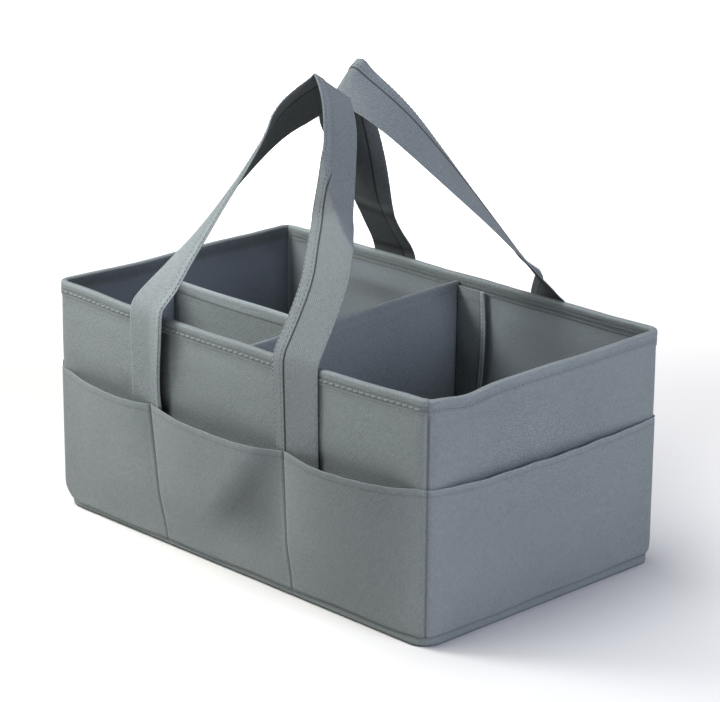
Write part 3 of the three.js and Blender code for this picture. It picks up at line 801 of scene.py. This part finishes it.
def pocket(wall):
    """Pocket panel of a wall: bays that swell towards a soft mouth, sewn down between them."""
    kind = wall.kind
    seams = POCKET_SEAMS[kind]
    levels = POCKET_LEVELS[kind]
    seed = SEEDS[wall.name]
    bay_count = len(seams) + 1
    number, share, past = bay_columns(wall, bay_count, POCKET_STEPS[kind])

    def of_bay(values):
        return np.asarray(values)[number]

    full = 1 - np.abs(2 * share ** of_bay(POCKET_LEAN[kind]) - 1) ** 3
    waver = np.sin(17 * share + seed) + np.sin(41 * share + 2 * seed)
    low = of_bay(levels[:-1])
    high = of_bay(levels[1:])
    top = low + (high - low) * share - of_bay(POCKET_SAG[kind]) * full + POCKET_WAVER[kind] * full * waver

    feet, heads = np.array([(-wall.straight, -wall.straight), *seams, (wall.straight, wall.straight)]).T
    middles = (feet + heads) / 2
    along = of_bay(middles[:-1]) * (1 - share) + of_bay(middles[1:]) * share
    middle_foot, foot_rise = CLOTH_FOOT[wall.name]
    cloth_foot = middle_foot + foot_rise * along / wall.half + 0.4 * np.sin(along / 14 + seed)
    z = cloth_foot + POCKET_ROWS * (top - cloth_foot)
    rise = (z - OUTER_FOOT) / (POCKET_SEAM_HEIGHT - OUTER_FOOT)
    upto = np.clip(rise, 0, 1)
    from_edge = of_bay(feet[:-1]) + of_bay(heads[:-1] - feet[:-1]) * upto
    to_edge = of_bay(feet[1:]) + of_bay(heads[1:] - feet[1:]) * upto
    width = to_edge - from_edge
    s = from_edge + width * share + past
    to_left = share * width + (number == 0) * NO_SEAM
    to_right = (1 - share) * width + (number == bay_count - 1) * NO_SEAM
    to_seam = np.minimum(to_left, to_right)
    below_mouth = top - z

    fallen = full * slack_fold(s, z) * (number == FOLD_BAY)
    swell = of_bay(POCKET_SWELL[kind]) * full * np.maximum(0, rise) ** POCKET_GROWTH
    swell = swell - FOLD_DEPTH * fallen
    over = 0.0
    if seams:
        reach = max(abs(p) for p in LEG_PLACES["front"]) + STRAP_WIDTH / 2
        over = LEG_ROOM * (1 - smooth(reach, wall.straight, np.abs(s))) * smooth(OUTER_FOOT, LEG_FOOT, z)
    tuck = 0.7 * bump(to_seam, 0, 1.3)
    foot_in = 0.9 * (1 - smooth(cloth_foot, cloth_foot + 2.5, z)) + wall.drawn_in(s, z)
    slack = 1.1 * ripple(s, z, seed + 2.2) * np.sin(math.pi * share) * smooth(10, 40, z)
    lip = 0.1 * smooth(1.6, 0.0, below_mouth)
    depth = -GAP - CLOTH - over - swell - slack + tuck + foot_in + 0.8 * wall.curl(s)
    # Painted shade along the seams, at the corners and along the foot, a darker line along the mouth's hem,
    # painted highlights at the mouth's edge and beside the seams, and painted shade over the fallen part of
    # the fold and all over the shaded bay
    shade = -0.45 * bump(to_seam, 0, 0.8) - 0.45 * wall.curl(s, 0.8)
    shade = shade - 0.2 * bump(below_mouth, 4.8, 0.6) + 0.16 * smooth(2.0, 0.6, below_mouth)
    shade = shade + 0.1 * bump(to_seam, 2.4, 1.0) - 0.5 * bump(z, cloth_foot, 0.8)
    shade = shade - FOLD_SHADE * fallen - 0.16 * full * (number == SHADED_BAY)
    outer = wall.point(s, depth - lip, z)
    piece = shell(f"{wall.name}_pocket_cloth", outer, wall.point(s, depth + CLOTH + lip, z), shade=shade)
    dress(piece, CANVAS, "caddy", "canvas", f"{wall.name}_pocket")
    for foot, head in seams:
        share_up = np.linspace(0.02, 0.99, 60)
        seam = foot + (head - foot) * share_up
        height = OUTER_FOOT + share_up * (POCKET_SEAM_HEIGHT - OUTER_FOOT)
        lift = LEG_ROOM * smooth(OUTER_FOOT, LEG_FOOT, height)
        line = wall.point(seam, -GAP - CLOTH - lift + 0.65, height)
        seam_rows.append((line, wall.outwards(seam, height)))


for side in WALLS.values():
    if side.name in RIM_DIPS:
        end_board(side)
    outer_panel(side)
    lining(side)
    pocket(side)
rim_hem()


# Base: a cloth floor, a band round the foot and a lining

# Section of the band from foot to top: how far out from the wall, and height; and its painted shade, darker
# at its foot and at its top
BAND_SECTION = np.array([(-1.5, 1.0), (-0.9, 1.5), (-0.7, 2.8), (-0.7, 4.6), (-0.9, 6.2), (-1.2, 8.0)])
BAND_SHADE = np.array([-0.2, 0.0, 0.0, 0.0, -0.1, -0.5])
BASE_CLOTH_INSET = 1.2
BASE_INSET = 2.2
EDGE_ROUNDING = 0.15
PAD_SHARES = (0.05, 0.3, 0.6, 0.85, 0.96, 0.995)


def band_grid(section):
    """Rings of points round the foot of the box."""
    return np.stack([raised(floor_outline(-out), z) for out, z in section], axis=1)


def floor_piece(name, inset, foot, top, node, material, slot):
    """A flat piece over the whole floor, with a rounded edge."""
    outlines = [floor_outline(inset) * k for k in PAD_SHARES]
    rings = outlines + [floor_outline(inset - EDGE_ROUNDING)] + outlines[::-1]
    heights = [foot] * len(outlines) + [(foot + top) / 2] + [top] * len(outlines)
    return dress(pad(name, rings, heights), material, "caddy", slot, node)


band_inside = band_grid(BAND_SECTION - (CLOTH, 0))
band = shell("base_band_cloth", band_grid(BAND_SECTION), band_inside, wrap=True, shade=BAND_SHADE)
dress(band, CANVAS, "caddy", "canvas", "base_band")
board_top = BASE_LINING_FOOT - GAP
floor_piece("base_board_core", BASE_INSET, CLOTH + GAP, board_top, "base_board", BOARD, "board")
base_cloth = floor_piece("base_cloth", BASE_CLOTH_INSET, 0.0, CLOTH, "base_panel", CANVAS, "canvas")
base_lining = floor_piece(
    "base_lining_cloth", BASE_INSET, BASE_LINING_FOOT, BASE_LINING_TOP, "base_lining", LINING, "lining"
)


# Straps: one run of cloth from pocket to pocket, over the rim and through the loop

# Thickness of a strap before and behind its middle surface, and of its hem's second layer
STRAP_FACE = 0.7
STRAP_BACK = 0.75
HEM_LAYER = 0.6
# Places across a strap, from -1 to 1: where its hem starts, the painted dark line of shade beside that,
# the sewing, and where the edges start to thin, painted lighter there
STRAP_HEM = 11.0
HEM_EDGE = 1 - 2 * STRAP_HEM / STRAP_WIDTH
HEM_LINE = 0.48
STRAP_SEWING = (0.62, 0.93)
EDGE_THINS = 0.93
STRAP_ACROSS = np.concatenate(
    [
        [-1, -0.97, -0.93],
        np.linspace(-0.88, 0.4, 25),
        [0.44, 0.46, 0.48, 0.5, 0.52, 0.56],
        np.linspace(0.62, 0.88, 5),
        [0.93, 0.97, 1],
    ]
)
LEG_ROWS = 50
LOOP_ROWS = 241
# The cloth rolls over the rim this far from the hinge
STRAP_ROLL = 2.5
# How far the inner edge curls off the wall at each leg and is gathered there, and how far up the loop
# the curl fades and the skew settles
FRONT_CURLS = (6.8, 0.6)
BACK_CURLS = (9.0, 0.5)
CURL_HEIGHTS = (85, 165)
LEG_GATHER = 1.3
GATHER_HEIGHTS = (110, 172)
CURL_FADE = 30.0
SKEW_SETTLE = 70.0
# A slanting crease past the crown: where it meets the hem and the far edge, its reach across the strap,
# and the turn of the strap below it, which is gone by the end
FRONT_CREASE = (0.715, 0.835, 0.1, -9.0)
CREASE_END = 0.9
# Stretches raised with painted light or sunken with painted shade: how much, and middle and reach along the
# run
FRONT_PAINTED_STRETCHES = ((0.3, 185, 60), (-0.2, 700, 110))
BACK_PAINTED_STRETCHES = ((0.22, 497, 3.5), (-0.2, 504, 4), (-0.3, 541, 3))
# Painted shade all over the inner side of a strap
INNER_SHADE = 0.58


def spline(values, places):
    """Catmull-Rom through evenly numbered stations, as the solids' own curves run."""
    values = np.asarray(values, float)
    at = places * (len(values) - 1)
    i = np.minimum(at.astype(int), len(values) - 2)
    t = at - i
    p0 = values[np.maximum(i - 1, 0)]
    p1 = values[i]
    p2 = values[i + 1]
    p3 = values[np.minimum(i + 2, len(values) - 1)]
    a = (p2 - p0) * 0.5
    b = (p3 - p1) * 0.5
    return (2 * p1 - 2 * p2 + a + b) * t**3 + (-3 * p1 + 3 * p2 - 2 * a - b) * t**2 + a * t + p1


def from_middle(slopes):
    """Slopes across a strap added up from its middle."""
    steps = (slopes[1:] + slopes[:-1]) / 2 * np.diff(STRAP_ACROSS)[:, None]
    added = np.concatenate([np.zeros((1, 3)), np.cumsum(steps, axis=0)])
    return added - np.array([np.interp(0, STRAP_ACROSS, added[:, c]) for c in range(3)])


def strap_grid(stations, skew, curls, leg_places, crease):
    """A strap's middle surface along and across its run, its inner edge curling at the legs."""
    wall = WALLS["front"]
    inwards = HINGE_OUT - STRAP_WIDTH / 2 - HANDLE_PARTING
    lean = math.atan2(inwards, HANDLE_HEIGHT)
    rise = math.hypot(inwards, HANDLE_HEIGHT)
    climb = np.array([0, math.sin(lean), math.cos(lean)])
    face = np.array([0, -math.cos(lean), math.sin(lean)])
    hinge = np.array([0, -HINGE_OUT, HINGE_HEIGHT])
    x_axis = np.array([1.0, 0, 0])
    bent = smooth(-0.1, 1, STRAP_ACROSS)
    rows = []

    def leg(place, heights, curl):
        towards_loop = 1 if place < 0 else -1
        across = STRAP_ACROSS * STRAP_WIDTH / 2
        for z in heights:
            away = curl * bent * smooth(*CURL_HEIGHTS, z)
            gathered = LEG_GATHER * curl * bent * (1 - smooth(*GATHER_HEIGHTS, z))
            place_on_wall = place + towards_loop * (across - gathered)
            rows.append(wall.point(place_on_wall, STRAP_DEPTH - STRAP_THICKNESS / 2 - away, z))

    leg_heights = np.linspace(LEG_FOOT, HINGE_HEIGHT - STRAP_ROLL, LEG_ROWS)
    leg(leg_places[0], leg_heights, curls[0])
    places = np.linspace(0, 1, LOOP_ROWS)
    along = LEG_SHIFT + spline([p[0] for p in stations], places) * LEG_SPAN / 2
    height = spline([p[1] for p in stations], places) * rise
    turns = np.radians([p[2] for p in stations])
    run = np.stack([np.gradient(along), np.gradient(height)], -1)
    run /= np.linalg.norm(run, axis=1)[:, None]
    for k, t in enumerate(places):
        if height[k] < STRAP_ROLL:
            continue
        settled = smooth(0, STRAP_SETTLE, height[k])
        way = np.array([0, 1.0 if t < 0.5 else -1.0]) * (1 - settled) + run[k] * settled
        way /= np.linalg.norm(way)
        edge = -x_axis * way[1] + climb * way[0]
        lag = skew * STRAP_ACROSS * smooth(0, SKEW_SETTLE, height[k])
        turn = spline(turns, np.clip(t + lag, 0, 1))[:, None]
        if crease and t > 0.5:
            start, stop, reach, fallen = crease
            at = HEM_LINE - (1 + HEM_LINE) * (t - start) / (stop - start)
            below = smooth(at - reach, at + reach, STRAP_ACROSS)[:, None]
            settled_turn = math.radians(fallen) * (1 - smooth(start, CREASE_END, t))
            turn = turn + (settled_turn - turn) * below
        width = face * np.sin(turn) - edge * np.cos(turn)
        middle = hinge + x_axis * along[k] + climb * height[k] - face * STRAP_THICKNESS / 2
        curl = curls[0 if t < 0.5 else 1] * (1 - smooth(0, CURL_FADE, height[k]))
        rows.append(middle + from_middle(width) * STRAP_WIDTH / 2 + face * (curl * bent)[:, None])
    leg(leg_places[1], leg_heights[::-1], curls[1])
    return np.array(rows)


def eased(values, rounds=3):
    """Neighbours averaged, ends kept, so that the strap rolls over the rim."""
    for _ in range(rounds):
        middle = (values[:-2] + 2 * values[1:-1] + values[2:]) / 4
        values = np.concatenate([values[:1], middle, values[-1:]])
    return values


def strap(name, stations, skew, curls, crease, painted_stretches):
    """One carrying strap with its hem and sewing, moved into place with no body."""
    wall = WALLS[name]
    grid = eased(strap_grid(stations, skew, curls, LEG_PLACES[name], crease))
    faces = np.cross(np.gradient(grid, STRAP_ACROSS, axis=1), np.gradient(grid, axis=0))
    faces /= np.linalg.norm(faces, axis=-1)[..., None]
    run = lengths(grid.mean(axis=1))[:, None]
    hem = smooth(HEM_EDGE - 0.015, HEM_EDGE + 0.015, STRAP_ACROSS)
    hem_line = bump(STRAP_ACROSS, HEM_LINE, 0.026)
    edge = smooth(EDGE_THINS, 1, np.abs(STRAP_ACROSS))
    thin = 1 - 0.75 * edge
    cup = 0.55 * (STRAP_ACROSS**2 - 0.3) * np.sin(run / 61 + 0.5)
    wave = (0.17 * np.sin(run / 37) + 0.12 * np.sin(run / 17 + 1)) * STRAP_ACROSS
    stretch_lift_and_light = sum(amount * bump(run, middle, reach) for amount, middle, reach in painted_stretches)
    base = grid + faces * (cup + wave + stretch_lift_and_light)[..., None]
    outer = base + faces * ((STRAP_FACE + HEM_LAYER * hem) * thin)[:, None]
    inner = base - faces * (STRAP_BACK * thin)[:, None]
    # Painted light and shade: a painted dark line of shade beside the hem, painted highlights along the
    # edges and the painted stretches; the hem is a little lighter. The inner side gets painted shade all
    # over, with a fainter hem line
    shade = 0.1 * hem - 0.85 * hem_line + 0.14 * edge + stretch_lift_and_light
    inner_shade = shade - INNER_SHADE + 0.4 * hem_line

    def placed(points):
        return wall.turned(points[..., 0], points[..., 1], points[..., 2])

    cloth = f"{name}_strap_cloth"
    piece = shell(cloth, placed(outer), placed(inner), sharp=50, shade=shade, inner_shade=inner_shade)
    rows = []
    for place in STRAP_SEWING:
        k = int(np.searchsorted(STRAP_ACROSS, place)) - 1
        near = (place - STRAP_ACROSS[k]) / (STRAP_ACROSS[k + 1] - STRAP_ACROSS[k])
        line = outer[:, k] * (1 - near) + outer[:, k + 1] * near
        rows.append((placed(line + faces[:, k] * 0.05), placed(faces[:, k])))
    sewing = stitches(f"{name}_strap_stitching", rows, pitch=3.4, length=2.3, width=0.55)
    y = wall.turned(0.0, -HINGE_OUT, 0.0)[1] * MM
    for part, material in ((piece, STRAP), (sewing, DARK_THREAD)):
        dress(part, material, None, "strap")
        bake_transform(part)
    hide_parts(f"{name}_left_strap_leg", f"{name}_right_strap_leg", f"{name}_handle_strap")


strap("front", FRONT_LOOP, FRONT_SKEW, FRONT_CURLS, FRONT_CREASE, FRONT_PAINTED_STRETCHES)
strap("back", BACK_LOOP, BACK_SKEW, BACK_CURLS, None, BACK_PAINTED_STRETCHES)


# Divider: covers folded over boards, with hemmed tops and flaps at the ends

# Section of a cover's top, from the side to the crown: distance from the middle, and height from the top
COVER_TOP = ((-2.2, -6.0), (-2.25, -3.4), (-2.1, -1.6), (-1.5, -0.5), (-0.7, -0.08), (0.0, 0.0))
COVER_STEPS = 48
COVER_SEAM_DROP = 6.6
divider_rows = []


def cover(name, start, end, top, seed, hem):
    """Cloth folded over an upright board between two end lines; hem is 1 for a raised top, or 0."""
    heights = np.concatenate([np.linspace(INNER_FOOT - top, -10, 22), [-9.4, -9.0, -8.6, -8.2, -7.6]])
    legs = np.column_stack([np.full(len(heights), -DIVIDER_HALF), heights])
    side = np.concatenate([legs, np.array(COVER_TOP)])
    section = np.concatenate([side, side[-2::-1] * (-1, 1)])
    inside = offset_line(section, CLOTH)
    first = start(0)[0]
    last = end(0)[0]
    length = np.linalg.norm(last - first)
    run = (last - first) / length
    normal = np.array([-run[1], run[0], 0])
    outer = []
    inner = []
    for t in np.linspace(0, 1, COVER_STEPS):
        to_end = min(t, 1 - t)
        for line, grid in ((section, outer), (inside, inner)):
            way = np.sign(line[:, 0])
            below = line[:, 1]
            z = top + below + 0.3 * math.sin(t * 9 + seed) * smooth(-12, 0, below)
            place = start(z) * (1 - t) + end(z) * t
            free = smooth(0.03, 0.2, to_end) * between(z, 8, 30, top - 9, top - 5)
            swell = way * 1.2 * free * ripple(length * t, z, seed + (line[:, 0] > 0) * 1.9)
            fold = way * 0.35 * hem * between(below, -8.4, -7.8, -2.5, 0) * smooth(0.02, 0.1, to_end)
            grid.append(place + normal * (line[:, 0] + swell + fold)[:, None])
    # Painted light: the whole cover a little lighter, the long divider's hemmed top lighter still, with a
    # painted dark line of shade under its hem and a painted highlight towards its crown
    hem_shade = 0.22 - 0.7 * bump(section[:, 1], -8.6, 0.5) + 0.12 * smooth(-8, -1, section[:, 1])
    piece = shell(f"{name}_cloth", np.array(outer), np.array(inner), sharp=50, shade=hem_shade * hem + 0.1)
    dress(piece, CANVAS, "divider", "canvas", f"{name}_cover")
    for sign in (-1, 1):
        t = np.linspace(0.02, 0.98, 120)[:, None]
        z = top - COVER_SEAM_DROP
        line = start(z) * (1 - t) + end(z) * t + normal * sign * (DIVIDER_HALF + (0.4 if hem else 0.08))
        divider_rows.append((line, np.repeat(normal[None] * sign, len(line), axis=0)))


def line_at(wall, s, keep):
    """An upright end line of the divider, following a wall's lean."""

    def line(z):
        z = np.atleast_1d(np.asarray(z, float))
        place = wall.point(np.full_like(z, s), DIVIDER_END_DEPTH, z)
        for axis, value in keep.items():
            place[:, axis] = value
        return place

    return line


front_line = line_at(WALLS["front"], CROSS_FRONT_X, {0: CROSS_FRONT_X})
back_line = line_at(WALLS["back"], -CROSS_BACK_X, {0: CROSS_BACK_X})
left_line = line_at(WALLS["left"], -LONG_Y, {1: LONG_Y})
cross_near = front_line(0)[0]
cross_far = back_line(0)[0]
cross_at_long = np.interp(LONG_Y, [cross_near[1], cross_far[1]], [cross_near[0], cross_far[0]])
SEAM_CLEAR = 0.45


def seam_line(z):
    """The upright line where the long divider is sewn to the cross one."""
    z = np.atleast_1d(np.asarray(z, float))
    x = np.full_like(z, cross_at_long - DIVIDER_HALF - SEAM_CLEAR)
    return np.stack([x, np.full_like(z, LONG_Y), z], -1)


cover("cross_divider", front_line, back_line, CROSS_TOP, 0.8, 0)
cover("long_divider", left_line, seam_line, LONG_TOP, 2.6, 1)
sew("divider_stitching", divider_rows, DARK_THREAD, "divider", pitch=3.6, length=2.6, width=0.5)

# A flap's side hem starts at this share of its width, its head hem and its sewing this far below its head
FLAP_SIDE_HEM = 0.86
FLAP_HEAD_HEM = 9.2
FLAP_HEAD_SEAM = 7.5
FLAP_THREAD_LIFT = 0.08
HOOK_THICKNESS = 1.0
LOOP_THICKNESS = 1.2


def flap(name, wall, root, sign, top, seed):
    """Cloth end of the divider against a wall, wavy along its free hem, with its two strips."""
    start = root + sign * (DIVIDER_HALF + FLAP_ROOT)
    head = top - FLAP_SHORT
    t = np.concatenate([np.linspace(0, 0.85, 12), np.linspace(0.87, 1, 6)])[:, None]
    z = np.linspace(FLAP_FOOT, head, 60)[None, :]
    s = start + sign * FLAP_WIDTH * t + sign * 2.1 * t * np.sin(z / 19 + 1.3 * seed)
    waves = 0.5 + 0.5 * np.sin(z / 15 + seed) * np.cos(z / 41 + 2 * seed)
    lift = 2.6 * t**2 * waves * between(z, FLAP_FOOT, FLAP_FOOT + 20, head - 18, head - 4)
    lift = lift + 0.9 * np.sin(math.pi * t) ** 2 * (0.5 + 0.5 * np.sin(z / 6.3 + 3.5 * t + seed))
    side_hem = smooth(FLAP_SIDE_HEM, FLAP_SIDE_HEM + 0.02, t)
    head_hem = smooth(head - FLAP_HEAD_HEM, head - FLAP_HEAD_HEM + 0.6, z) * smooth(0.08, 0.3, t)
    depth = FLAP_DEPTH + CLOTH + lift
    thin = 0.45 * (1 - smooth(0, 0.12, t))
    face = wall.point(s, depth + 0.5 * side_hem + 0.35 * head_hem - thin, z)
    # Painted shade over the flap, a painted highlight on its free hem with a painted dark line of shade
    # where the hem starts, and painted light towards its head
    shade = -0.2 + 0.75 * smooth(FLAP_SIDE_HEM, 0.9, t) - 0.5 * bump(t, FLAP_SIDE_HEM, 0.015)
    shade = shade + 0.55 * smooth(105, 158, z)
    piece = shell(f"{name}_flap_cloth", face, wall.point(s, depth - CLOTH, z), shade=shade)
    body = f"{name}_flap_fold"
    dress(piece, CANVAS, body, "canvas", f"{name}_flap")
    inwards = -wall.outwards(s, z)
    level = int(np.argmin(np.abs(z[0] - (head - FLAP_HEAD_SEAM))))
    rows = []
    for place in (np.s_[-3, 2:-2], np.s_[1:-1, level]):
        rows.append((face[place] + inwards[place] * FLAP_THREAD_LIFT, inwards[place]))
    sew(f"{name}_flap_stitching", rows, DARK_THREAD, body, pitch=3.2, length=2.2, width=0.5)
    low = start + sign * STRIP_INSET
    high = start + sign * (FLAP_WIDTH - STRIP_INSET)
    across = np.linspace(low, high, 14)[:, None]
    strip_head = min(head, STRIP_HEAD + STRIP_INSET) - STRIP_INSET
    up_strip = np.linspace(FLAP_FOOT + STRIP_INSET, strip_head, 60)[None, :]
    rim = np.minimum(np.abs(across - low), np.abs(across - high))
    rounded = 0.35 * (1 - smooth(0, 2.5, rim))
    fuzz = 0.12 * np.sin(across * 3.1) * np.sin(up_strip * 2.9)
    for part, near, thick, owner in (
        ("hook", HOOK_DEPTH, HOOK_THICKNESS, body),
        ("loop", LOOP_DEPTH, LOOP_THICKNESS, "caddy"),
    ):
        strip = shell(
            f"{name}_{part}_tape",
            wall.point(across, near + thick - 0.15 + fuzz - rounded, up_strip),
            wall.point(across, near + rounded * 0.3, up_strip),
        )
        dress(strip, TAPE, owner, "hook_tape", f"{name}_{part}_strip")


flap("front", WALLS["front"], CROSS_FRONT_X, 1, CROSS_TOP, 0.4)
flap("back", WALLS["back"], -CROSS_BACK_X, -1, CROSS_TOP, 1.1)
flap("end", WALLS["left"], -LONG_Y, 1, LONG_TOP, 2.3)

sew("pocket_stitching", seam_rows, DARK_THREAD, "caddy", pitch=4.0, length=2.8, width=0.5)
sew("rim_stitching", rope_rows, THREAD, "caddy", pitch=5.6, length=5.0, width=1.5, slant=0.14)
sew("rim_inner_stitching", dark_rows, DARK_THREAD, "caddy", pitch=3.6, length=2.4, width=0.45)

for node_name, stuff in (
    ("front_board", BOARD),
    ("back_board", BOARD),
    ("cross_divider_board", FELT_BOARD),
    ("long_divider_board", FELT_BOARD),
):
    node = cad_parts[node_name]
    node.data.materials.clear()
    node.data.materials.append(stuff)


# Floor and lights

FLOOR_HALF = 6.0
FLOOR_DROP = 0.0003
WORLD_STRENGTH = 0.12
SUN_FROM = (-0.35, -0.3, 0.88)
floor_mesh = bpy.data.meshes.new("floor")
square = ((-1, -1), (1, -1), (1, 1), (-1, 1))
floor_mesh.from_pydata([(x * FLOOR_HALF, y * FLOOR_HALF, 0) for x, y in square], [], [(0, 1, 2, 3)])
floor = add_object("floor", floor_mesh)
floor.location.z = -FLOOR_DROP
pale = grained("pale_floor", (0.87, 0.86, 0.83), scale=3, depth=0.0, roughness=0.9, contrast=0.01)
floor_mesh.materials.append(pale)

world = bpy.data.worlds.new("studio")
bpy.context.scene.world = world
world.use_nodes = True
world.node_tree.nodes["Background"].inputs["Color"].default_value = (1, 1, 1, 1)
world.node_tree.nodes["Background"].inputs["Strength"].default_value = WORLD_STRENGTH
bpy.context.scene.view_settings.view_transform = "Standard"


def add_light(name, kind, power):
    """A light in the scene, not yet placed."""
    data = bpy.data.lights.new(name, kind)
    data.energy = power
    return add_object(name, data)


def lamp(name, place, target, size, power, colour):
    """A round soft lamp that faces its target."""
    light = add_light(name, "AREA", power)
    light.data.shape = "DISK"
    light.data.size = size
    light.data.color = colour
    light.location = place
    light.rotation_euler = (Vector(target) - Vector(place)).to_track_quat("-Z", "Y").to_euler()


sun = add_light("soft_sun", "SUN", 1.8)
sun.data.angle = math.radians(50)
sun.rotation_euler = Vector(SUN_FROM).to_track_quat("Z", "Y").to_euler()
lamp("front_key", (-0.38, -0.42, 0.62), (-0.1, -0.1, 0.1), size=0.3, power=3.85, colour=(1.0, 1.0, 0.98))
lamp("right_fill", (2.2, 0.0, 0.9), (0, 0, 0.1), size=1.0, power=28, colour=(0.74, 0.778, 1.0))
lamp("low_fill", (2.4, 0.2, 0.15), (0, 0, 0.1), size=1.0, power=4, colour=(1.0, 0.95, 1.0))
lamp("top_soft", (-0.1, 0.1, 1.3), (0, 0, 0.1), size=0.5, power=2.4, colour=(0.75, 0.8, 1.0))
lamp("backdrop", (-0.75, 0.75, 1.0), (-1.7, 1.7, 0), size=0.8, power=34, colour=(1.0, 1.0, 1.0))
floor_light = add_light("floor_light", "SPOT", 32)
floor_light.data.spot_size = math.radians(32)
floor_light.data.spot_blend = 1.0
floor_light.data.shadow_soft_size = 0.1
floor_light.location = (0.4, 0.36, 1.2)
